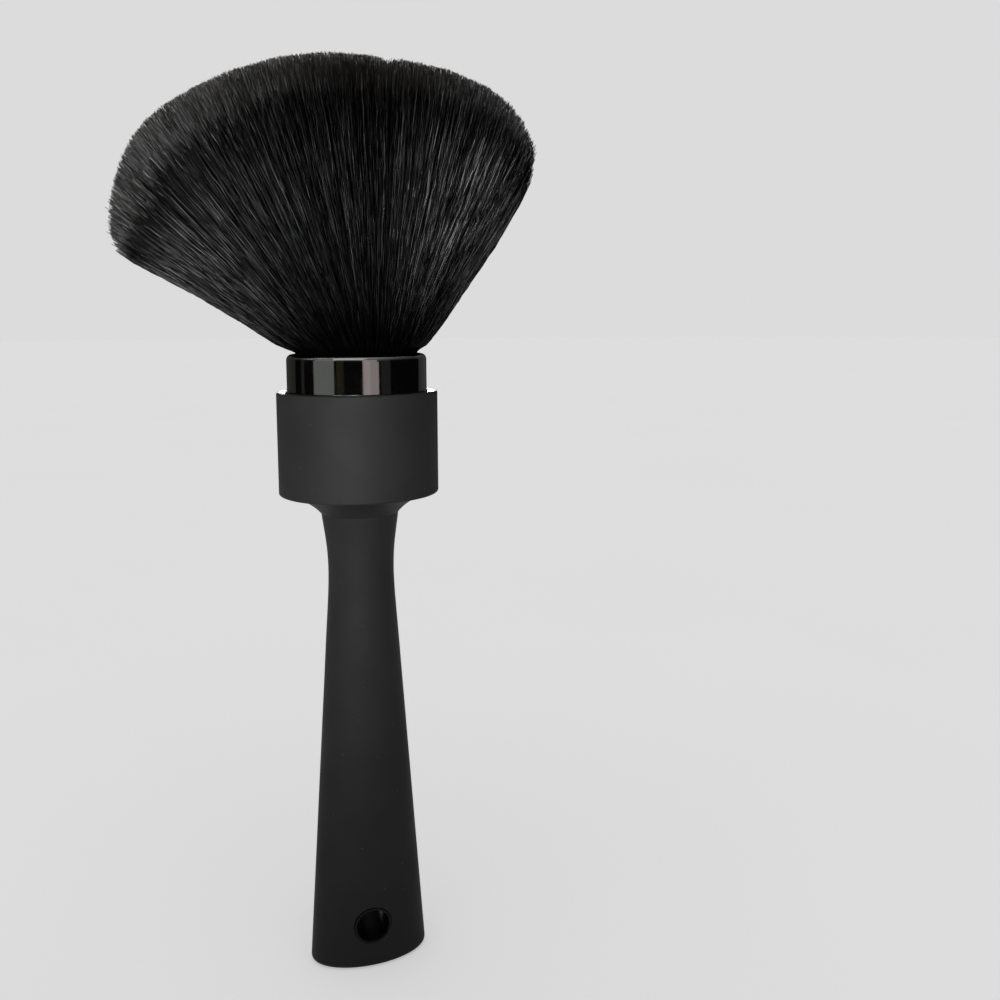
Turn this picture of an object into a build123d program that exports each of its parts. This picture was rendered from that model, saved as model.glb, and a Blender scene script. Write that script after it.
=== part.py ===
"""A barber's neck duster: a fibre knot in a drawn metal ferrule, glued into a collar on a hollow handle.

Lengths are in millimetres. The origin is the centre of the butt face, +Z runs along the handle to the fibre
tips, the handle's flat front faces -Y, and the tuft fans out along X.
"""

import os
from math import sqrt

from build123d import *

# ---- driving dimensions: handle
BUTT_WIDTH = 25.2  # the butt is a flat oval, and the neck is round
BUTT_DEPTH = 13.6
BUTT_ROUNDING = 1.3
WAIST_Z = 84.5  # the neck's narrowest place, as wide as the butt is deep
SEAM_Z = 98.3  # the shells' shoulder, where the collar's boss begins
SEAM_RADIUS = 8.0
WALL = 2.0
CAVITY_FLOOR_Z = 2.5
CAVITY_TOP_Z = 93.0

# ---- driving dimensions: tenon and hanging hole
TENON_RADIUS = 5.8
TENON_BORE_RADIUS = 3.8
TENON_LENGTH = 10.6
TENON_END_GAP = 0.4  # above the tenon, in its socket
HOLE_Z = 9.5
HOLE_RADIUS = 3.9  # in the shells
HOLE_EDGE_ROUNDING = 0.4
SLEEVE_BORE_RADIUS = 3.4
SLEEVE_LIP_ROUNDING = 0.3
SLEEVE_SEAT_RADIUS = 6.0
SLEEVE_SEAT_GAP = 2.0  # between the two shells' seats

# ---- driving dimensions: what locates and stiffens the shells
PEG_HEIGHTS = (27.0, 52.0, 77.0)
PEG_RADIUS = 1.2
PEG_LENGTH = 3.0
PEG_CLEARANCE = 0.1
PEG_END_GAP = 0.2
BOSS_RADIUS = 2.5
RIB_HEIGHTS = (39.5, 64.5)
RIB_THICKNESS = 1.2
RIB_DEPTH = 2.5

# ---- driving dimensions: collar and ferrule
COLLAR_RADIUS = 16.5
COLLAR_BOTTOM_Z = 102.6
COLLAR_TOP_Z = 123.7
COLLAR_CORNER = 0.4
COLLAR_FLOOR = 3.0
COLLAR_CURVE_END_RADIUS = 15.5  # where the hollow curve under the collar runs out
COLLAR_CURVE_RADIUS = 12.5
SOCKET_WALL = 2.0
FERRULE_RADIUS = 14.3
FERRULE_WALL = 0.7
FERRULE_TOP_Z = 131.4
LIP_RADIUS = 1.2
BOND = 0.2  # glue line round the tenon
RING_BOND = 0.3  # glue line round the ferrule
RING_BOND_TOP_GAP = 1.8

# ---- driving dimensions: knot
DISC_THICKNESS = 2.0
RESIN_HEIGHT = 6.0
ROOT_RADIUS = 12.3
TWINE_RADIUS = 0.42
TWINE_TURNS = 4
TWINE_SPACING = 2.1  # from turn to turn, in twine radii
MOUTH_CLEARANCE = 0.2
TUFT_TOP_Z = 190.0
FAN_ROOT_RADIUS = 14.0  # where the round root meets the fan, just above the ferrule
FAN_DEPTH_AT_LIP = 14.4  # half the tuft's depth there
FAN_DEPTH_AT_SHOULDER = 22.8  # half its depth where the tips begin to close in
FAN_SHOULDER_Z = 175.5
FAN_START = 0.6  # above the ferrule
FAN_CREST = 0.3  # from the top of the fan to where its depth would close to nothing
FAN_OVERLAP = 0.5  # how far the root's form reaches into the fan's, so that they join

# ---- derived
SHOULDER_RADIUS = BUTT_DEPTH / 2
SOCKET_RADIUS = TENON_RADIUS + BOND
SOCKET_TOP_Z = SEAM_Z + TENON_LENGTH + TENON_END_GAP
COLLAR_FLOOR_Z = COLLAR_BOTTOM_Z + COLLAR_FLOOR
COLLAR_BORE_RADIUS = FERRULE_RADIUS + RING_BOND
FERRULE_BOTTOM_Z = SOCKET_TOP_Z
FERRULE_BORE_RADIUS = FERRULE_RADIUS - FERRULE_WALL
LIP_CENTRE_RADIUS = FERRULE_RADIUS - LIP_RADIUS
LIP_CENTRE_Z = FERRULE_TOP_Z - LIP_RADIUS
LIP_BORE_RADIUS = LIP_RADIUS - FERRULE_WALL
MOUTH_RADIUS = LIP_CENTRE_RADIUS - FERRULE_WALL / 2
RESIN_Z = FERRULE_BOTTOM_Z + DISC_THICKNESS
ROOT_Z = RESIN_Z + RESIN_HEIGHT
FAN_Z = FERRULE_TOP_Z + FAN_START

# The lopsided outline of the fan, seen from the front: height, left edge, right edge.
FAN_OUTLINE = (
    (FAN_Z, -14.6, 14.6),
    (137.5, -22.5, 18.3),
    (143.0, -31.2, 22.2),
    (147.5, -39.2, 25.5),
    (150.5, -44.0, 27.6),
    (154.5, -45.8, 30.2),
    (160.5, -45.3, 33.8),
    (167.0, -43.6, 36.6),
    (171.5, -41.7, 37.4),
    (175.0, -39.3, 36.8),
    (178.5, -35.6, 34.6),
    (182.0, -30.3, 31.2),
    (185.3, -24.0, 26.3),
    (188.4, -15.2, 18.2),
    (TUFT_TOP_Z, -6.0, 7.0),
)


def half_width(z):
    """Half the handle's width: an even taper to the waist, then a flare to the seam."""
    if z < WAIST_Z:
        return BUTT_WIDTH / 2 + (SHOULDER_RADIUS - BUTT_WIDTH / 2) * z / WAIST_Z
    return SHOULDER_RADIUS + (SEAM_RADIUS - SHOULDER_RADIUS) * ((z - WAIST_Z) / (SEAM_Z - WAIST_Z)) ** 2


def half_depth(z):
    """Half the handle's depth: the same from the butt to the waist, then the same flare."""
    return SHOULDER_RADIUS if z < WAIST_Z else half_width(z)


def heights(low, high, count):
    """Evenly spaced heights from low to high, with both ends."""
    return [low + (high - low) * i / (count - 1) for i in range(count)]


def fan_half_depth(z):
    """Half the tuft's depth: a straight flare to the shoulder, then a quarter ellipse to the tips."""
    if z < FAN_SHOULDER_Z:
        share = (z - FAN_Z) / (FAN_SHOULDER_Z - FAN_Z)
        return FAN_DEPTH_AT_LIP + (FAN_DEPTH_AT_SHOULDER - FAN_DEPTH_AT_LIP) * share
    share = (z - FAN_SHOULDER_Z) / (TUFT_TOP_Z + FAN_CREST - FAN_SHOULDER_Z)
    return FAN_DEPTH_AT_SHOULDER * sqrt(1 - share**2)


def handle_loft(low, high, inset):
    """The handle's form between two heights, with its surface moved inwards by the inset."""
    sections = 13
    with BuildPart() as form:
        for height in heights(low, high, sections):
            with BuildSketch(Plane.XY.offset(height)):
                Ellipse(half_width(height) - inset, half_depth(height) - inset)
        loft()
    return form.part


# ---- the handle's outer form and its core, from which both shells are cut
with BuildPart() as handle_form:
    add(handle_loft(0, SEAM_Z, 0))
    fillet(handle_form.faces().sort_by(Axis.Z)[0].edges(), BUTT_ROUNDING)
    with BuildSketch(Plane.XY.offset(SEAM_Z)):
        Circle(TENON_RADIUS)
    extrude(amount=TENON_LENGTH)

with BuildPart() as handle_core:
    add(handle_loft(CAVITY_FLOOR_Z, CAVITY_TOP_Z, WALL))
    with BuildSketch(Plane.XY.offset(WAIST_Z)):
        Circle(TENON_BORE_RADIUS)
    extrude(amount=SEAM_Z + TENON_LENGTH - WAIST_Z)

# What stands inside both shells: bosses for the pegs, seats for the sleeve, and ribs, rooted in the wall.
with BuildPart() as handle_inserts:
    with BuildSketch(Plane.XZ):
        for height in PEG_HEIGHTS:
            with Locations((0, height)):
                Circle(BOSS_RADIUS)
    extrude(amount=BUTT_DEPTH / 2, both=True)
    for side in (-1, 1):
        with BuildSketch(Plane.XZ.offset(side * SLEEVE_SEAT_GAP / 2)):
            with Locations((0, HOLE_Z)):
                Circle(SLEEVE_SEAT_RADIUS)
        extrude(amount=side * BUTT_DEPTH / 2)
        for height in RIB_HEIGHTS:
            with Locations((0, side * (BUTT_DEPTH - RIB_DEPTH - WALL) / 2, height)):
                Box(BUTT_WIDTH, RIB_DEPTH + WALL, RIB_THICKNESS)
    add(handle_loft(CAVITY_FLOOR_Z - WALL / 2, CAVITY_TOP_Z, WALL / 2), mode=Mode.INTERSECT)


def shell_half(keep):
    """One half of the hollow handle, split at the plane y = 0, with its hole and its inserts."""
    with BuildPart() as half:
        add(handle_form.part)
        add(handle_core.part, mode=Mode.SUBTRACT)
        add(handle_inserts.part)
        with BuildSketch(Plane.XZ):
            with Locations((0, HOLE_Z)):
                Circle(HOLE_RADIUS)
        extrude(amount=BUTT_DEPTH, both=True, mode=Mode.SUBTRACT)
        split(bisect_by=Plane.XZ, keep=keep)
    return half.part


def rim_edges(part, side):
    """The hole's outer edge: the closed edge round the hole that lies farthest out on that side."""
    rims = [
        edge
        for edge in part.edges()
        if abs(edge.center(CenterOf.BOUNDING_BOX).Z - HOLE_Z) < 0.5
        and abs(edge.bounding_box().size.X - 2 * HOLE_RADIUS) < 0.1
    ]
    return ShapeList(rims).sort_by(Axis.Y, reverse=side > 0)[:1]


FRONT, REAR = -1, 1

with BuildPart() as handle_front_shell:
    add(shell_half(Keep.TOP))
    fillet(rim_edges(handle_front_shell.part, FRONT), HOLE_EDGE_ROUNDING)
    for height in PEG_HEIGHTS:
        with BuildSketch(Plane.XZ):
            with Locations((0, height)):
                Circle(PEG_RADIUS + PEG_CLEARANCE)
        extrude(amount=PEG_LENGTH + PEG_END_GAP, mode=Mode.SUBTRACT)

with BuildPart() as handle_rear_shell:
    add(shell_half(Keep.BOTTOM))
    fillet(rim_edges(handle_rear_shell.part, REAR), HOLE_EDGE_ROUNDING)
    for height in PEG_HEIGHTS:
        with BuildSketch(Plane.XZ):
            with Locations((0, height)):
                Circle(PEG_RADIUS)
        extrude(amount=PEG_LENGTH)

# ---- the glossy liner of the hanging hole, its ends flush with the handle's curved faces
with BuildPart() as hang_hole_sleeve:
    with BuildSketch(Plane.XZ):
        with Locations((0, HOLE_Z)):
            Circle(HOLE_RADIUS)
            Circle(SLEEVE_BORE_RADIUS, mode=Mode.SUBTRACT)
    extrude(amount=BUTT_DEPTH, both=True)
    add(handle_form.part, mode=Mode.INTERSECT)
    bore_edges = [
        edge
        for edge in hang_hole_sleeve.edges()
        if abs(edge.bounding_box().size.X - 2 * SLEEVE_BORE_RADIUS) < 0.1
    ]
    fillet(bore_edges, SLEEVE_LIP_ROUNDING)

# ---- the collar: a cup for the ferrule, with a socket for the tenon and a hollow curve under its floor
CURVE_START = (SEAM_RADIUS, SEAM_Z)
CURVE_END = (COLLAR_CURVE_END_RADIUS, COLLAR_BOTTOM_Z)

with BuildPart() as collar:
    with BuildSketch(Plane.XZ):
        with BuildLine():
            Line((SOCKET_RADIUS, SEAM_Z), CURVE_START)
            RadiusArc(CURVE_START, CURVE_END, COLLAR_CURVE_RADIUS)
            Polyline(
                CURVE_END,
                (COLLAR_RADIUS, COLLAR_BOTTOM_Z),
                (COLLAR_RADIUS, COLLAR_TOP_Z),
                (COLLAR_BORE_RADIUS, COLLAR_TOP_Z),
                (COLLAR_BORE_RADIUS, COLLAR_FLOOR_Z),
                (SOCKET_RADIUS + SOCKET_WALL, COLLAR_FLOOR_Z),
                (SOCKET_RADIUS + SOCKET_WALL, SOCKET_TOP_Z),
                (SOCKET_RADIUS, SOCKET_TOP_Z),
                (SOCKET_RADIUS, SEAM_Z),
            )
        make_face()
    revolve(axis=Axis.Z)
    outer_corners = collar.edges().filter_by(GeomType.CIRCLE).group_by(SortBy.RADIUS)[-1]
    fillet(outer_corners, COLLAR_CORNER)

with BuildPart() as collar_bond:
    with BuildSketch(Plane.XY.offset(SEAM_Z)):
        Circle(SOCKET_RADIUS)
        Circle(TENON_RADIUS, mode=Mode.SUBTRACT)
    extrude(amount=TENON_LENGTH)

# ---- the ferrule: a thin drawn tube whose top edge is rolled inwards
with BuildPart() as ferrule:
    with BuildSketch(Plane.XZ):
        with BuildLine():
            Line((FERRULE_RADIUS, FERRULE_BOTTOM_Z), (FERRULE_RADIUS, LIP_CENTRE_Z))
            CenterArc((LIP_CENTRE_RADIUS, LIP_CENTRE_Z), LIP_RADIUS, 0, 90)
            CenterArc((LIP_CENTRE_RADIUS, FERRULE_TOP_Z - FERRULE_WALL / 2), FERRULE_WALL / 2, 90, 180)
            CenterArc((LIP_CENTRE_RADIUS, LIP_CENTRE_Z), LIP_BORE_RADIUS, 90, -90)
            Polyline(
                (FERRULE_BORE_RADIUS, LIP_CENTRE_Z),
                (FERRULE_BORE_RADIUS, FERRULE_BOTTOM_Z),
                (FERRULE_RADIUS, FERRULE_BOTTOM_Z),
            )
        make_face()
    revolve(axis=Axis.Z)

with BuildPart() as ferrule_bond:
    with BuildSketch(Plane.XY.offset(FERRULE_BOTTOM_Z)):
        Circle(COLLAR_BORE_RADIUS)
        Circle(FERRULE_RADIUS, mode=Mode.SUBTRACT)
    extrude(amount=COLLAR_TOP_Z - RING_BOND_TOP_GAP - FERRULE_BOTTOM_Z)

with BuildPart() as ferrule_base_disc:
    with BuildSketch(Plane.XY.offset(FERRULE_BOTTOM_Z)):
        Circle(FERRULE_BORE_RADIUS)
    extrude(amount=DISC_THICKNESS)

with BuildPart() as root_resin:
    with BuildSketch(Plane.XY.offset(RESIN_Z)):
        Circle(FERRULE_BORE_RADIUS)
    extrude(amount=RESIN_HEIGHT)

# ---- the knot: turns of twine round the root, and the fibres as one plain, closed, soft solid
TWINE_PITCH = TWINE_SPACING * TWINE_RADIUS
TWINE_CENTRE_RADIUS = ROOT_RADIUS + TWINE_RADIUS

with BuildPart() as knot_binding:
    with BuildSketch(Plane.XZ):
        for turn in range(TWINE_TURNS):
            with Locations((TWINE_CENTRE_RADIUS, ROOT_Z + TWINE_PITCH * (turn + 1))):
                Circle(TWINE_RADIUS)
    revolve(axis=Axis.Z)

WAISTED_Z = ROOT_Z + TWINE_PITCH * (TWINE_TURNS + 2)

with BuildPart() as bristle_tuft:
    with BuildSketch(Plane.XZ):
        Polygon(
            (0, ROOT_Z),
            (ROOT_RADIUS, ROOT_Z),
            (ROOT_RADIUS, WAISTED_Z),
            (MOUTH_RADIUS - MOUTH_CLEARANCE, FERRULE_TOP_Z),
            (FAN_ROOT_RADIUS, FAN_Z),
            (FAN_ROOT_RADIUS, FAN_Z + FAN_OVERLAP),
            (0, FAN_Z + FAN_OVERLAP),
            align=None,
        )
    revolve(axis=Axis.Z)
    for height, left, right in FAN_OUTLINE:
        with BuildSketch(Plane.XY.offset(height)):
            with Locations(((left + right) / 2, 0)):
                Ellipse((right - left) / 2, fan_half_depth(height))
    loft(ruled=True)

os.makedirs("parts", exist_ok=True)

handle_front_shell.part.label = "handle_front_shell"
export_step(handle_front_shell.part, "parts/handle_front_shell.step")
handle_rear_shell.part.label = "handle_rear_shell"
export_step(handle_rear_shell.part, "parts/handle_rear_shell.step")
hang_hole_sleeve.part.label = "hang_hole_sleeve"
export_step(hang_hole_sleeve.part, "parts/hang_hole_sleeve.step")
collar.part.label = "collar"
export_step(collar.part, "parts/collar.step")
collar_bond.part.label = "collar_bond"
export_step(collar_bond.part, "parts/collar_bond.step")
ferrule.part.label = "ferrule"
export_step(ferrule.part, "parts/ferrule.step")
ferrule_bond.part.label = "ferrule_bond"
export_step(ferrule_bond.part, "parts/ferrule_bond.step")
ferrule_base_disc.part.label = "ferrule_base_disc"
export_step(ferrule_base_disc.part, "parts/ferrule_base_disc.step")
root_resin.part.label = "root_resin"
export_step(root_resin.part, "parts/root_resin.step")
knot_binding.part.label = "knot_binding"
export_step(knot_binding.part, "parts/knot_binding.step")
bristle_tuft.part.label = "bristle_tuft"
export_step(bristle_tuft.part, "parts/bristle_tuft.step")
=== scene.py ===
"""Blender model of a barber's neck duster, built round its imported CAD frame.

Metres, in the row's own frame: the butt face at the origin, +Z up the handle to the fibre tips, the flat
front facing -Y, and the tuft fanned out along X. The CAD nodes keep their shapes and get materials, and the
plain solid that stands for the tuft is replaced by its fibres.
"""

import math

import bpy
import numpy as np
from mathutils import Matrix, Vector
from mathutils.bvhtree import BVHTree


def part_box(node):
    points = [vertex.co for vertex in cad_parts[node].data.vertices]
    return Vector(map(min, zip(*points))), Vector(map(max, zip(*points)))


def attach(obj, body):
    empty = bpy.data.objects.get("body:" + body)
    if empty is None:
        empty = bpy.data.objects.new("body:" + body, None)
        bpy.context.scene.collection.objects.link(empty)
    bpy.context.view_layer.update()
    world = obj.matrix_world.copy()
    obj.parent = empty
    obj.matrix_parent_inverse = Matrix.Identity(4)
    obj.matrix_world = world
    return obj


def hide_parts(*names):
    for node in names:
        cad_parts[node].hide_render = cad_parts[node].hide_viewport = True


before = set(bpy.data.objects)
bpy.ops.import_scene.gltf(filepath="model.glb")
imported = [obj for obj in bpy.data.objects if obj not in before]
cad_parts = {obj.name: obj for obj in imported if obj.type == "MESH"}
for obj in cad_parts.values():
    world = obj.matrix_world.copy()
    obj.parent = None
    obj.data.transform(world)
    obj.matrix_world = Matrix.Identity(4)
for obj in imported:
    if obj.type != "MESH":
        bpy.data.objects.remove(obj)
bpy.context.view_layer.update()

MM = 0.001
SEED = 27

# ---- camera: a phone held close to the brush, level with the ferrule and a little to the left
CAMERA_PLACE = (-30.4 * MM, -199.2 * MM, 137.6 * MM)
CAMERA_PITCH = 83.6  # degrees from straight down
CAMERA_ROLL = 0.24
CAMERA_YAW = -17.12
CAMERA_LENS = 34.67  # mm, on a 36 mm sensor
CAMERA_DROP = 0.0693  # how far the frame hangs below the lens's axis, as a share of its width

# ---- studio
BACKDROP = (0.715, 0.715, 0.715, 1)
FLOOR_GLOW = 0.41  # the floor's own light, as every lamp is kept to pieces of the brush
BRIGHT_SIDE = (-0.55, -0.65, 0.5)
LIT_POINT = (0, 0, 130 * MM)  # in the ferrule: every light faces it

# ---- fibres
FIBRE_SHINE = 6.75  # specular level at full gleam, where a real plastic has about 0.5: a tone match
FIBRES = 38000
OUTER_SHARE = 0.36  # of the fibres lie in the outer layer, which is the one that shows along its length
OUTER_LAYER = 0.86  # the outer layer's inner edge, as a share of the bundle's radius
OUTER_STEPS = 20  # points along a fibre of the outer layer, beyond the ferrule
INNER_STEPS = 4
LOCKS = 10  # pieces that each layer is divided into, round its axis
FIBRE_RADIUS = 0.088 * MM
FIBRE_TIP_RADIUS = 0.055 * MM
FIBRE_SIDES = 3
FIBRE_MAP = "OFBake"  # the UV map that lays out the fibres' colours
MAP_COLUMNS = 256
SHORT_SHARE = 0.25  # of the fibres end early
SHORTEST = 0.4  # of their length, at most, is missing
STRAY = 0.07  # how far a fibre wanders across the bundle, as a share of the bundle's radius
ROOT_INSET = 1.9 * MM  # from the ferrule's outside to the bundle's edge in its mouth
ROOT_HIDDEN = 5.0 * MM  # how far down the ferrule the fibres start
BRIM = 0.3 * MM  # how far above the ferrule they begin to lean
CLUMPS = 3000  # lead fibres of each layer, which draw the others to them
CLUMP_PULL = 0.18  # how far, at most, as a share of the way
WAVES = (2.5, 6.0)  # fewest and most waves along a fibre
WAVE_SIZES = (0.03, 0.20)  # mm
DRIFT = 0.18  # mm, at a fibre's tip

# ---- fan: where the fibres would meet below the ferrule's mouth, and the fan's two edges
FOCUS_OFFSET = 6.7 * MM  # to the right of the axis
FOCUS_DEPTH = 11.7 * MM  # below the top of the ferrule
LEFT_EDGE = 148.7  # degrees from +X, in the plane of the fan
RIGHT_EDGE = 57.2
FRONT_RIM = 0.10  # how much shorter the front and back fibres are than the middle ones
RAGGED_RIM = 0.16  # and how much of its length a fibre of the outer layer may lack
SHOULDERS = ((68.0, 10.0, 1.2 * MM), (142.0, 14.0, 1.0 * MM))  # two swells of the edge: angle, width, height
DEPTH_SHARE = 0.94  # of the CAD solid's depth
PARTING_ANGLE = 88.2  # where a parting notches the fan's top edge
PARTING_SLANT = 6.1  # how much that angle falls from the fan's middle to its back
PARTING_WIDTH = 1.2  # degrees
PARTING_DEPTH = 1.2 * MM
LIP_SPLAY = 1.5 * MM  # how far the fibres spread as they come over the ferrule's lip
SPLAY_REACH = 0.07  # the share of a fibre's length that this takes
TIP_JITTER = 0.12 * MM  # how unevenly the fibres end
WISPS = 0.5 * MM  # the same at the fan's left edge
WISPS_FROM = 138.0  # degrees, where it starts to grow


def node(tree, kind, inputs=None, **settings):
    """Adds a shader node. An input is a value or the socket that feeds it."""
    made = tree.nodes.new(kind)
    for key, value in settings.items():
        setattr(made, key, value)
    for key, value in (inputs or {}).items():
        if isinstance(value, bpy.types.NodeSocket):
            tree.links.new(value, made.inputs[key])
        else:
            made.inputs[key].default_value = value
    return made


def ramp(tree, factor, *stops):
    """A colour ramp between (position, grey or colour) stops."""
    made = node(tree, "ShaderNodeValToRGB", {"Fac": factor})
    elements = made.color_ramp.elements
    while len(elements) < len(stops):
        elements.new(0.5)
    for element, (position, colour) in zip(elements, stops):
        element.position = position
        element.color = (colour, colour, colour, 1) if isinstance(colour, float) else (*colour, 1)
    return made.outputs["Color"]


def new_material(name, **constants):
    """A material with one Principled shader, its constant inputs set, and its object coordinates."""
    material = bpy.data.materials.new(name)
    material.use_nodes = True
    tree = material.node_tree
    shader = tree.nodes["Principled BSDF"]
    for key, value in constants.items():
        shader.inputs[key.replace("_", " ").title().replace("Ior", "IOR")].default_value = value
    place = node(tree, "ShaderNodeTexCoord").outputs["Object"]
    return material, tree, shader, place


def noise(tree, place, scale, detail):
    """A noise pattern, with its scale in features per metre."""
    inputs = {"Vector": place, "Scale": scale, "Detail": detail}
    return node(tree, "ShaderNodeTexNoise", inputs).outputs["Fac"]


def stretched(tree, place, scale):
    """Coordinates multiplied along each axis."""
    return node(tree, "ShaderNodeMapping", {"Vector": place, "Scale": scale}).outputs["Vector"]


def bump(tree, shader, height, strength, distance):
    """Feeds a bump to the shader."""
    inputs = {"Height": height, "Strength": strength, "Distance": distance}
    made = node(tree, "ShaderNodeBump", inputs)
    tree.links.new(made.outputs["Normal"], shader.inputs["Normal"])


def soft_touch_material():
    """Rubbery black soft-touch paint: dull and even, with a fine tooth, faint smudges and a little lint."""
    material, tree, shader, place = new_material("soft_touch_coat", specular_ior_level=0.12)
    mottle = ramp(tree, noise(tree, place, 90, 4), (0.35, 0.0145), (0.7, 0.0180))
    lint_cells = node(tree, "ShaderNodeTexVoronoi", {"Vector": place, "Scale": 900.0})
    lint_spot = ramp(tree, lint_cells.outputs["Distance"], (0.0, 1.0), (0.08, 1.0), (0.16, 0.0))
    lint_chance = ramp(tree, lint_cells.outputs["Color"], (0.0, 1.0), (0.14, 1.0), (0.15, 0.0))
    inputs = {0: lint_spot, 1: lint_chance}
    lint = node(tree, "ShaderNodeMath", inputs, operation="MULTIPLY").outputs[0]
    inputs = {"Fac": lint, "Color1": mottle, "Color2": (0.050, 0.050, 0.048, 1)}
    colour = node(tree, "ShaderNodeMixRGB", inputs)
    tree.links.new(colour.outputs["Color"], shader.inputs["Base Color"])
    smudges = ramp(tree, noise(tree, place, 55, 3), (0.35, 0.55), (0.68, 0.66))
    tree.links.new(smudges, shader.inputs["Roughness"])
    bump(tree, shader, noise(tree, place, 5200, 2), 0.25, 0.02 * MM)
    return material


def gloss_black_material():
    """Glossy moulded plastic, with the faint ripple of its moulding."""
    material, tree, shader, place = new_material("gloss_black_plastic", specular_ior_level=0.12)
    tint = ramp(tree, noise(tree, place, 300, 2), (0.3, 0.002), (0.7, 0.003))
    tree.links.new(tint, shader.inputs["Base Color"])
    dulled = ramp(tree, noise(tree, place, 500, 3), (0.4, 0.24), (0.75, 0.34))
    tree.links.new(dulled, shader.inputs["Roughness"])
    bump(tree, shader, noise(tree, place, 700, 1), 0.08, 0.02 * MM)
    return material


def gunmetal_material():
    """Black-chrome plating on drawn aluminium: a dark mirror with a faint grain round the tube."""
    material, tree, shader, place = new_material("gunmetal_plating", metallic=1.0)
    tint = ramp(tree, noise(tree, place, 160, 3), (0.3, (0.185, 0.180, 0.175)), (0.7, (0.205, 0.200, 0.195)))
    tree.links.new(tint, shader.inputs["Base Color"])
    handled = ramp(tree, noise(tree, place, 240, 4), (0.4, 0.055), (0.75, 0.12))
    tree.links.new(handled, shader.inputs["Roughness"])
    rings = noise(tree, stretched(tree, place, (40, 40, 9000)), 1.0, 2)
    bump(tree, shader, rings, 0.04, 0.01 * MM)
    return material


def epoxy_material():
    """Cured amber adhesive."""
    material, tree, shader, place = new_material("epoxy", roughness=0.25)
    tint = ramp(tree, noise(tree, place, 220, 3), (0.3, (0.34, 0.25, 0.12)), (0.7, (0.46, 0.36, 0.20)))
    tree.links.new(tint, shader.inputs["Base Color"])
    bump(tree, shader, noise(tree, place, 400, 2), 0.2, 0.1 * MM)
    return material


def disc_material():
    """Unpainted moulded plastic of the closing disc."""
    material, tree, shader, place = new_material("disc_plastic", roughness=0.5)
    tint = ramp(tree, noise(tree, place, 500, 3), (0.3, 0.08), (0.7, 0.12))
    tree.links.new(tint, shader.inputs["Base Color"])
    bump(tree, shader, noise(tree, place, 1500, 2), 0.2, 0.03 * MM)
    return material


def twine_material():
    """Twisted waxed cotton: plies slant across each turn."""
    material, tree, shader, place = new_material("twine", roughness=0.7, sheen_weight=0.3)
    plies = noise(tree, stretched(tree, place, (1, 1, 2.5)), 1800, 3)
    tint = ramp(tree, plies, (0.3, (0.42, 0.37, 0.26)), (0.7, (0.66, 0.61, 0.48)))
    tree.links.new(tint, shader.inputs["Base Color"])
    bump(tree, shader, plies, 0.6, 0.1 * MM)
    return material


def fibre_material():
    """Black synthetic fibre: some strands shinier than others, patchy along them, dull in the middle with
    painted shade.

    The colour holds painted shade in the fan's middle and at the roots and tips, and its lighter strands and
    patches are partly painted sheen. The dull middle and the strong shine are matched to the photo's tones,
    not known of the real fibre.
    """
    material, tree, shader, place = new_material("black_fibre")
    each = node(tree, "ShaderNodeNewGeometry").outputs["Random Per Island"]
    along = node(tree, "ShaderNodeUVMap", uv_map=FIBRE_MAP).outputs["UV"]
    reach = node(tree, "ShaderNodeSeparateXYZ", {"Vector": along}).outputs["Y"]
    far_apart = node(tree, "ShaderNodeMath", {0: each, 1: 500.0}, operation="MULTIPLY").outputs[0]
    strand = node(tree, "ShaderNodeCombineXYZ", {"X": far_apart, "Y": reach}).outputs["Vector"]
    patches = noise(tree, stretched(tree, strand, (1.0, 11.0, 1.0)), 1.0, 2)
    shown = ramp(tree, patches, (0.36, 0.1), (0.62, 1.0))
    rank = ramp(tree, each, (0.0, 0.08), (0.4, 0.20), (0.8, 0.60), (1.0, 0.9))
    # painted shade: the colour and shine fall off towards the roots and again at the tips
    ends = ramp(tree, reach, (0.19, 0.07), (0.62, 1.0), (0.82, 1.0), (0.96, 0.15))
    sheen_and_painted_shade = node(tree, "ShaderNodeMath", {0: shown, 1: rank}, operation="MULTIPLY").outputs[0]
    sheen_and_painted_shade = node(tree, "ShaderNodeMath", {0: sheen_and_painted_shade, 1: ends}, operation="MULTIPLY").outputs[0]
    # painted shade: the colour and shine fall off towards the fan's middle
    across = node(tree, "ShaderNodeSeparateXYZ", {"Vector": place}).outputs["X"]
    off_centre = node(tree, "ShaderNodeMath", {0: across}, operation="ABSOLUTE").outputs[0]
    outward = ramp(tree, off_centre, (0.0, 0.20), (10 * MM, 0.38), (20 * MM, 0.65), (32 * MM, 1.0))
    sheen_and_painted_shade = node(tree, "ShaderNodeMath", {0: sheen_and_painted_shade, 1: outward}, operation="MULTIPLY").outputs[0]
    # the colour follows the shine: lighter strands and patches, partly painted sheen, with the painted shade
    # above
    inputs = {"Fac": sheen_and_painted_shade, "Color1": (0.0008, 0.0008, 0.0008, 1), "Color2": (0.048, 0.048, 0.050, 1)}
    body = node(tree, "ShaderNodeMixRGB", inputs).outputs["Color"]
    feathered = ramp(tree, reach, (0.93, 0.0), (1.0, 0.3))
    inputs = {"Fac": feathered, "Color1": body, "Color2": (0.0060, 0.0040, 0.0028, 1)}
    colour = node(tree, "ShaderNodeMixRGB", inputs).outputs["Color"]
    tree.links.new(colour, shader.inputs["Base Color"])
    shader.inputs["Specular IOR Level"].default_value = 0.3  # for where the link below is dropped
    shine = node(tree, "ShaderNodeMath", {0: sheen_and_painted_shade, 1: FIBRE_SHINE}, operation="MULTIPLY").outputs[0]
    tree.links.new(shine, shader.inputs["Specular IOR Level"])
    dulled = ramp(tree, noise(tree, place, 350, 2), (0.3, 0.27), (0.7, 0.35))
    tree.links.new(dulled, shader.inputs["Roughness"])
    return material


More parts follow.
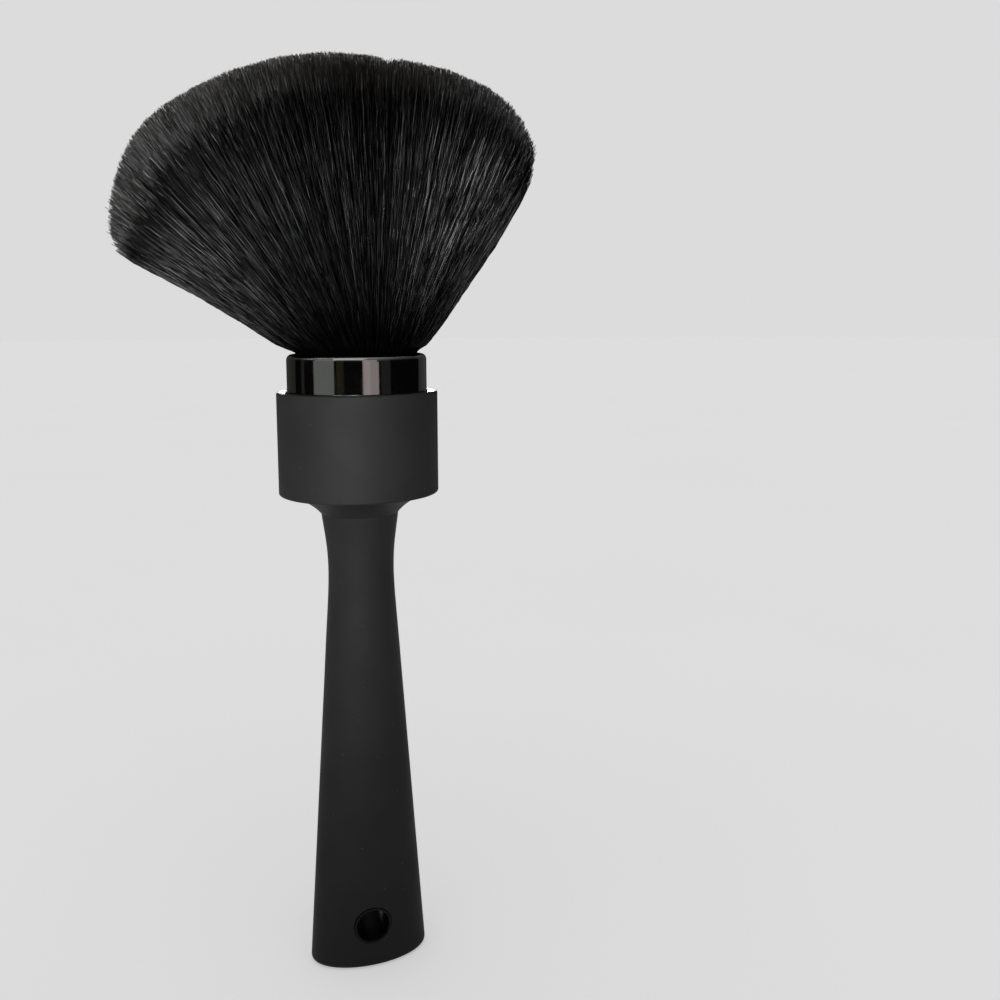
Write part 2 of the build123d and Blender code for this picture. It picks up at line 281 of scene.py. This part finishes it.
def floor_material():
    """Plain pale studio floor."""
    material, tree, shader, place = new_material("pale_floor", roughness=1.0, specular_ior_level=0.0)
    tint = ramp(tree, noise(tree, place, 6, 2), (0.3, 0.82), (0.7, 0.84))
    tree.links.new(tint, shader.inputs["Base Color"])
    shader.inputs["Emission Color"].default_value = (1, 1, 1, 1)
    shader.inputs["Emission Strength"].default_value = FLOOR_GLOW
    return material


def mesh_object(name, points, faces, material):
    """A linked mesh object from points and faces."""
    mesh = bpy.data.meshes.new(name)
    mesh.from_pydata(points, [], faces)
    mesh.update()
    made = bpy.data.objects.new(name, mesh)
    bpy.context.scene.collection.objects.link(made)
    mesh.materials.append(material)
    return made


# ---- camera, floor and light
#
# The camera is the rounded result of a fit to the outlines of the brush's round parts. The first powers of
# the handle's and the tuft's lamps came from a fit to the photo's tones, and were then changed.
# The other lamps were placed one by one.


def make_camera():
    """The photograph's view."""
    camera = bpy.data.objects.new("camera", bpy.data.cameras.new("camera"))
    bpy.context.scene.collection.objects.link(camera)
    camera.location = CAMERA_PLACE
    camera.rotation_euler = [math.radians(angle) for angle in (CAMERA_PITCH, CAMERA_ROLL, CAMERA_YAW)]
    camera.data.sensor_width = 36.0
    camera.data.lens = CAMERA_LENS
    camera.data.shift_y = -CAMERA_DROP
    camera.data.clip_start = 0.005
    bpy.context.scene.camera = camera


def ring_points(radius, count):
    """Points on a circle on the floor."""
    turns = [2 * math.pi * i / count for i in range(count)]
    return [(radius * math.cos(turn), radius * math.sin(turn), 0.0) for turn in turns]


def make_floor():
    """A round floor under the brush, and the same floor far out, which mirrors don't show."""
    pale = floor_material()
    count, near, far = 96, 0.8, 9.0
    inner = ring_points(near, count)
    floor = mesh_object("floor", inner, [tuple(range(count))], pale)
    faces = [(i, i + count, (i + 1) % count + count, (i + 1) % count) for i in range(count)]
    far_floor = mesh_object("far_floor", inner + ring_points(far, count), faces, pale)
    far_floor.visible_glossy = False
    far_floor.visible_diffuse = False
    floor.visible_diffuse = False


def make_world():
    """A pale backdrop for the camera, and a studio for the light: bright above the front left, dim below."""
    world = bpy.data.worlds.new("studio")
    bpy.context.scene.world = world
    world.use_nodes = True
    tree = world.node_tree
    direction = node(tree, "ShaderNodeTexCoord").outputs["Generated"]
    height = node(tree, "ShaderNodeSeparateXYZ", {"Vector": direction}).outputs["Z"]
    studio = ramp(tree, height, (0.0, 0.012), (0.25, 0.03), (0.55, 0.29), (1.0, 1.10))
    inputs = {0: direction, 1: Vector(BRIGHT_SIDE).normalized()}
    facing = node(tree, "ShaderNodeVectorMath", inputs, operation="DOT_PRODUCT").outputs["Value"]
    side = ramp(tree, facing, (0.0, 0.45), (1.0, 1.0))
    inputs = {"Fac": 1.0, "Color1": studio, "Color2": side}
    studio = node(tree, "ShaderNodeMixRGB", inputs, blend_type="MULTIPLY").outputs["Color"]
    eye = node(tree, "ShaderNodeLightPath").outputs["Is Camera Ray"]
    inputs = {"Fac": eye, "Color1": studio, "Color2": BACKDROP}
    colour = node(tree, "ShaderNodeMixRGB", inputs)
    tree.links.new(colour.outputs["Color"], tree.nodes["Background"].inputs["Color"])


def soft_light(name, bearing, elevation, distance, width, height, power, colour=(1, 1, 1)):
    """An area light. Bearing 0 is in front of the brush, and 90 is to its right."""
    light = bpy.data.lights.new(name, "AREA")
    light.shape = "RECTANGLE"
    light.size, light.size_y = width, height
    light.energy = power
    light.color = colour
    made = bpy.data.objects.new(name, light)
    bpy.context.scene.collection.objects.link(made)
    turn, tilt = math.radians(bearing), math.radians(elevation)
    away = Vector((math.sin(turn) * math.cos(tilt), -math.cos(turn) * math.cos(tilt), math.sin(tilt)))
    made.location = Vector(LIT_POINT) + away * distance
    made.rotation_euler = away.to_track_quat("Z", "Y").to_euler()
    made.visible_camera = False
    return made


def shine_only_on(light, lit):
    """Keeps a light to some of the pieces."""
    group = bpy.data.collections.new(f"lit_by_{light.name}")
    for piece in lit:
        group.objects.link(piece)
    light.light_linking.receiver_collection = group


def light_handle():
    """Keys on the collar that fade down the handle, one like them behind, and dim lights at the sides."""
    coated = [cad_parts[name] for name in ("handle_front_shell", "handle_rear_shell", "collar")]
    for light in (
        soft_light("key_left", -40, 8, 0.60, 0.10, 0.10, 0.036),
        soft_light("key_front", -15, 8, 0.60, 0.10, 0.10, 0.086),
        soft_light("key_rear", 170, 12, 0.60, 0.10, 0.10, 0.090),
    ):
        light.data.spread = math.radians(25)
        shine_only_on(light, coated)
    for light in (
        soft_light("coat_left", -80, 35, 0.60, 0.25, 0.25, 0.12),
        soft_light("coat_right", 80, 60, 0.60, 0.25, 0.25, 0.08),
        soft_light("coat_rear", -150, 45, 0.60, 0.25, 0.25, 0.12),
    ):
        shine_only_on(light, coated)


def light_tuft(tuft):
    """Soft lights round the fan. Each one shows in the strands that lie across its way to the eye."""
    for light in (
        soft_light("tuft_left_low", -80, 10, 0.60, 0.25, 0.25, 2.2),
        soft_light("tuft_front_low", -45, 10, 0.60, 0.25, 0.25, 1.5),
        soft_light("tuft_left", -80, 35, 0.60, 0.25, 0.25, 2.4),
        soft_light("tuft_front_left", -45, 35, 0.60, 0.25, 0.25, 3.0),
        soft_light("tuft_front_right", 15, 35, 0.60, 0.25, 0.25, 0.5),
        soft_light("tuft_right", 85, 35, 0.60, 0.25, 0.25, 1.8),
        soft_light("tuft_rear_left", -155, 25, 0.60, 0.25, 0.25, 3.5),
        soft_light("tuft_rear_right", 150, 25, 0.60, 0.25, 0.25, 3.5),
    ):
        shine_only_on(light, tuft)


def light_ferrule():
    """Dim cards round the ferrule, whose reflections band it, and one above for its lip."""
    for card in (
        soft_light("left_card", -64, 8, 0.75, 0.50, 0.75, 0.50, (0.92, 1.0, 0.92)),
        soft_light("left_sliver", -106, 8, 0.80, 0.10, 0.75, 0.012),
        soft_light("left_rear_card", -148, 8, 1.00, 0.80, 0.75, 0.10, (1.0, 1.0, 0.90)),
        soft_light("brown_sliver", -36, 8, 0.80, 0.16, 0.75, 0.018, (1.0, 0.85, 0.35)),
        soft_light("right_card", 13, 6, 0.90, 0.42, 0.75, 0.86, (1.0, 0.90, 0.91)),
        soft_light("right_glow", 7, 6, 0.90, 0.16, 0.75, 0.08, (1.0, 0.90, 0.91)),
        soft_light("right_fall", 38, 6, 0.90, 0.26, 0.75, 0.026),
        soft_light("right_rear_card", 131, 8, 1.00, 0.70, 0.75, 0.14),
        soft_light("lip_card", -25, 50, 0.70, 0.55, 0.45, 0.80),
    ):
        shine_only_on(card, [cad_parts["ferrule"]])


def light_hole():
    """A small light for the glossy inside of the hanging hole."""
    glint = soft_light("hole_glint", -40, 20, 0.60, 0.12, 0.12, 0.06)
    shine_only_on(glint, [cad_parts["hang_hole_sleeve"]])


# ---- tuft


def envelope_tree():
    """The surface of the CAD solid that stands for the tuft, for rays."""
    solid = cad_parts["bristle_tuft"].data
    points = [vertex.co.copy() for vertex in solid.vertices]
    return BVHTree.FromPolygons(points, [tuple(face.vertices) for face in solid.polygons])


def fan_outline(surface, focus):
    """A function from an angle in the fan's plane to the distance from the focus to the fan's outline."""
    far = 0.2
    angles = np.radians(np.linspace(RIGHT_EDGE, LEFT_EDGE, 120))
    reach = []
    for angle in angles:
        direction = Vector((math.cos(angle), 0, math.sin(angle)))
        hit = surface.ray_cast(focus + direction * far, -direction)[0]
        reach.append((hit - focus).length)
    return lambda asked: np.interp(asked, angles, reach)


def wall_bulge(surface, foot, corner):
    """How far a wall of the fan stands out from the straight line between its ends, and which way is out."""
    span = corner - foot
    outward = Vector((span.z, 0, -span.x)).normalized()
    if foot.x < 0:
        outward.negate()
    steps = np.linspace(0, 1, 40)
    bulge = []
    for step in steps:
        place = foot + span * step
        hit = surface.ray_cast(place + outward * 0.05, -outward)[0]
        bulge.append((hit - place).dot(outward))
    bulge = np.array(bulge) - bulge[-1] * steps
    return lambda asked: np.interp(asked, steps, bulge), np.array(outward)


def bundle_places(random):
    """Where each fibre sits in the bundle, on a unit disc, the outer layer's first."""
    outer = int(FIBRES * OUTER_SHARE)
    inner = FIBRES - outer
    radius = np.concatenate(
        [
            np.sqrt(random.uniform(OUTER_LAYER**2, 1, outer)),
            np.sqrt(random.uniform(0, OUTER_LAYER**2, inner)),
        ]
    )
    turn = random.uniform(0, 2 * np.pi, FIBRES)
    return np.stack([radius * np.cos(turn), radius * np.sin(turn)], 1), outer


def fan_tips(places, focus, depth, outline):
    """Each fibre's tip before it is ruffled."""
    u, v = places[:, 0], places[:, 1]
    middle = math.radians((LEFT_EDGE + RIGHT_EDGE) / 2)
    half = math.radians((LEFT_EDGE - RIGHT_EDGE) / 2)
    angle = middle - half * u
    parting = PARTING_ANGLE - PARTING_SLANT * v
    notch = PARTING_DEPTH * np.exp(-(((np.degrees(angle) - parting) / PARTING_WIDTH) ** 2))
    swell = np.zeros(len(places))
    for place, wide, high in SHOULDERS:
        swell += high * np.exp(-(((np.degrees(angle) - place) / wide) ** 2))
    across = v / np.sqrt(np.maximum(1 - u**2, 0.01))
    reach = (outline(angle) + swell - notch) * (1 - FRONT_RIM * across**2 * (1 - u**6))
    return np.stack([focus.x + reach * np.cos(angle), v * depth, focus.z + reach * np.sin(angle)], 1)


def clump(points, places, random):
    """Draws each fibre towards the nearest of some lead fibres, more and more from the ferrule outwards."""
    leads = random.choice(len(places), CLUMPS, replace=False)
    nearest = np.empty(len(places), int)
    at_once = 2000
    for start in range(0, len(places), at_once):
        apart = places[start : start + at_once, None, :] - places[None, leads, :]
        nearest[start : start + at_once] = leads[np.argmin((apart**2).sum(2), 1)]
    steps = points.shape[1]
    growth = np.linspace(0, 1, steps) ** 0.8
    pull = CLUMP_PULL * growth[None, :, None] * random.uniform(0.4, 1.0, (len(places), 1, 1))
    return points + (points[nearest] - points) * pull


def fibre_lines(places, tips, whole, mouth, bulges, steps):
    """Points along each fibre: up through the ferrule's mouth, over its lip and out to its end."""
    count = len(places)
    radius, top = mouth
    start = np.stack([places[:, 0] * radius, places[:, 1] * radius, np.full(count, top)], 1)
    hidden = start - [0, 0, ROOT_HIDDEN]
    brim = start + [0, 0, BRIM]
    steps_out = np.linspace(0, 1, steps + 1)[1:] ** 1.25
    share = whole[:, None] * steps_out[None, :]
    out = brim[:, None, :] + (tips - brim)[:, None, :] * share[:, :, None]
    over_lip = 1 - np.exp(-share / SPLAY_REACH)
    for sign, (bulge, outward) in zip((1, -1), bulges):
        pushed = np.clip(sign * places[:, :1], 0, 1) ** 1.5
        out += (pushed * bulge(share) * over_lip)[:, :, None] * outward
    out[:, :, 1] += places[:, 1:2] * LIP_SPLAY * over_lip * (1 - share)
    return np.concatenate([hidden[:, None, :], brim[:, None, :], out], 1), steps_out


def ruffle(lines, share, random):
    """Small waves along each fibre, a drift of its tip, and tips of uneven length."""
    count, steps = len(lines), len(share)
    along = lines[:, -1] - lines[:, 1]
    length = np.linalg.norm(along, axis=1)
    along /= length[:, None]
    side = np.cross(along, random.normal(size=(count, 3)))
    side /= np.linalg.norm(side, axis=1, keepdims=True)
    other = np.cross(along, side)
    offset = np.zeros((count, steps, 3))
    for direction in (side, other):
        waves = random.uniform(*WAVES, (count, 1))
        phase = random.uniform(0, 2 * np.pi, (count, 1))
        size = random.uniform(*WAVE_SIZES, (count, 1)) * MM
        wave = size * np.sin(2 * np.pi * waves * share[None, :] + phase) * np.minimum(1, share * 6)[None, :]
        drift = random.normal(0, DRIFT, (count, 1)) * MM * share[None, :] ** 2
        offset += (wave + drift)[:, :, None] * direction[:, None, :]
    lean = np.degrees(np.arctan2(along[:, 2], along[:, 0]))
    wispy = np.clip((lean - WISPS_FROM) / (LEFT_EDGE - WISPS_FROM), 0, 1)
    uneven = random.normal(-0.5, 1, count) * (TIP_JITTER + (WISPS - TIP_JITTER) * wispy)
    offset += along[:, None, :] * uneven[:, None, None] * share[None, :, None] ** 4
    lines[:, 2:] += offset
    return lines


def fibre_mesh(name, lines, random, material):
    """One mesh of three-sided tapered tubes, closed at both ends, with the way along each in its UV map."""
    count, steps = lines.shape[:2]
    tangent = np.gradient(lines, axis=1)
    tangent /= np.linalg.norm(tangent, axis=2, keepdims=True)
    reference = np.where(np.abs(tangent[..., 2:3]) > 0.9, [1.0, 0, 0], [0, 0, 1.0])
    side = np.cross(tangent, reference)
    side /= np.linalg.norm(side, axis=2, keepdims=True)
    other = np.cross(tangent, side)
    share = np.linspace(0, 1, steps)
    taper = np.clip((1 - share) / 0.3, 0, 1) ** 0.7
    radius = FIBRE_TIP_RADIUS + (FIBRE_RADIUS - FIBRE_TIP_RADIUS) * taper
    radius = radius[None, :] * random.uniform(0.75, 1.2, (count, 1))
    twist = random.uniform(0, 2 * np.pi, (count, 1))
    rings = []
    for corner in range(FIBRE_SIDES):
        turn = twist + 2 * np.pi * corner / FIBRE_SIDES
        way = np.cos(turn)[..., None] * side + np.sin(turn)[..., None] * other
        rings.append(lines + way * radius[..., None])
    points = np.stack(rings, 2).reshape(-1, 3)

    base = (np.arange(count)[:, None, None] * steps + np.arange(steps - 1)[None, :, None]) * FIBRE_SIDES
    corner = np.arange(FIBRE_SIDES)[None, None, :]
    following = (corner + 1) % FIBRE_SIDES
    quads = np.stack(
        [base + corner, base + following, base + following + FIBRE_SIDES, base + corner + FIBRE_SIDES],
        -1,
    ).reshape(-1, 4)
    first = np.arange(count)[:, None] * steps * FIBRE_SIDES
    roots = first + np.arange(FIBRE_SIDES)[None, ::-1]
    ends = first + (steps - 1) * FIBRE_SIDES + np.arange(FIBRE_SIDES)[None, :]
    caps = np.concatenate([roots, ends])

    mesh = bpy.data.meshes.new(name)
    loops = np.concatenate([quads.ravel(), caps.ravel()])
    sizes = np.concatenate([np.full(len(quads), 4), np.full(len(caps), FIBRE_SIDES)])
    mesh.vertices.add(len(points))
    mesh.vertices.foreach_set("co", points.astype(np.float32).ravel())
    mesh.loops.add(len(loops))
    mesh.loops.foreach_set("vertex_index", loops.astype(np.int32))
    mesh.polygons.add(len(sizes))
    mesh.polygons.foreach_set("loop_start", np.concatenate([[0], np.cumsum(sizes)[:-1]]).astype(np.int32))
    mesh.polygons.foreach_set("use_smooth", np.ones(len(sizes), bool))
    mesh.update(calc_edges=True)
    reach = (loops // FIBRE_SIDES) % steps / (steps - 1)
    across = loops % FIBRE_SIDES
    last_side = np.repeat(np.arange(len(quads)), 4) % FIBRE_SIDES == FIBRE_SIDES - 1
    wraps = np.tile([0, 1, 1, 0], len(quads)) * last_side
    across[: 4 * len(quads)] += wraps * FIBRE_SIDES
    column = (loops // (FIBRE_SIDES * steps)) % MAP_COLUMNS
    inset = 0.15 + 0.7 * across / FIBRE_SIDES
    layer = mesh.uv_layers.new(name=FIBRE_MAP)
    places = np.stack([(column + inset) / MAP_COLUMNS, reach], 1)
    layer.data.foreach_set("uv", places.astype(np.float32).ravel())
    mesh.materials.append(material)
    made = bpy.data.objects.new(name, mesh)
    bpy.context.scene.collection.objects.link(made)
    return made


def make_tuft():
    """The fibres, in locks round the bundle's axis, which replace the plain CAD solid."""
    random = np.random.default_rng(SEED)
    ferrule_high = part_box("ferrule")[1]
    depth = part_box("bristle_tuft")[1].y * DEPTH_SHARE
    focus = Vector((FOCUS_OFFSET, 0, ferrule_high.z - FOCUS_DEPTH))
    radius = ferrule_high.x - ROOT_INSET
    surface = envelope_tree()
    outline = fan_outline(surface, focus)
    bulges = []
    for edge, foot in ((RIGHT_EDGE, radius), (LEFT_EDGE, -radius)):
        angle = math.radians(edge)
        corner = focus + Vector((math.cos(angle), 0, math.sin(angle))) * float(outline(angle))
        bulges.append(wall_bulge(surface, Vector((foot, 0, ferrule_high.z)), corner))
    material = fibre_material()

    places, outer = bundle_places(random)
    ends = places + random.normal(0, STRAY, places.shape)
    ends /= np.maximum(1, np.linalg.norm(ends, axis=1, keepdims=True))
    tips = fan_tips(ends, focus, depth, outline)
    whole = 1 - (random.uniform(0, 1, FIBRES) < SHORT_SHARE) * random.uniform(0, SHORTEST, FIBRES)
    rim = np.arange(FIBRES) < outer
    whole -= rim * np.abs(places[:, 1]) * RAGGED_RIM * random.uniform(0, 1, FIBRES) ** 2
    turn = np.arctan2(places[:, 1], places[:, 0])
    pieces = []
    for part, steps, chosen in (
        ("outer", OUTER_STEPS, slice(0, outer)),
        ("inner", INNER_STEPS, slice(outer, None)),
    ):
        mouth = (radius, ferrule_high.z)
        lines, share = fibre_lines(places[chosen], tips[chosen], whole[chosen], mouth, bulges, steps)
        lines = clump(lines, places[chosen], random)
        lines = ruffle(lines, share, random)
        lock = ((turn[chosen] + np.pi) / (2 * np.pi) * LOCKS).astype(int) % LOCKS
        for number in range(LOCKS):
            pieces.append(fibre_mesh(f"fibres_{part}_{number + 1}", lines[lock == number], random, material))
    for piece in pieces:
        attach(piece, "root")
    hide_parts("bristle_tuft")
    return pieces


def dress_cad_nodes():
    """Gives every CAD node that stays its material."""
    coat, gloss, metal = soft_touch_material(), gloss_black_material(), gunmetal_material()
    epoxy = epoxy_material()
    materials = {
        "handle_front_shell": coat,
        "handle_rear_shell": coat,
        "collar": coat,
        "hang_hole_sleeve": gloss,
        "ferrule": metal,
        "collar_bond": epoxy,
        "ferrule_bond": epoxy,
        "root_resin": epoxy,
        "ferrule_base_disc": disc_material(),
        "knot_binding": twine_material(),
    }
    for name, material in materials.items():
        for material_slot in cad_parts[name].material_slots:
            material_slot.material = material


make_camera()
make_floor()
make_world()
bpy.context.scene.view_settings.view_transform = "Standard"
dress_cad_nodes()
tuft = make_tuft()
light_handle()
light_tuft(tuft)
light_ferrule()
light_hole()
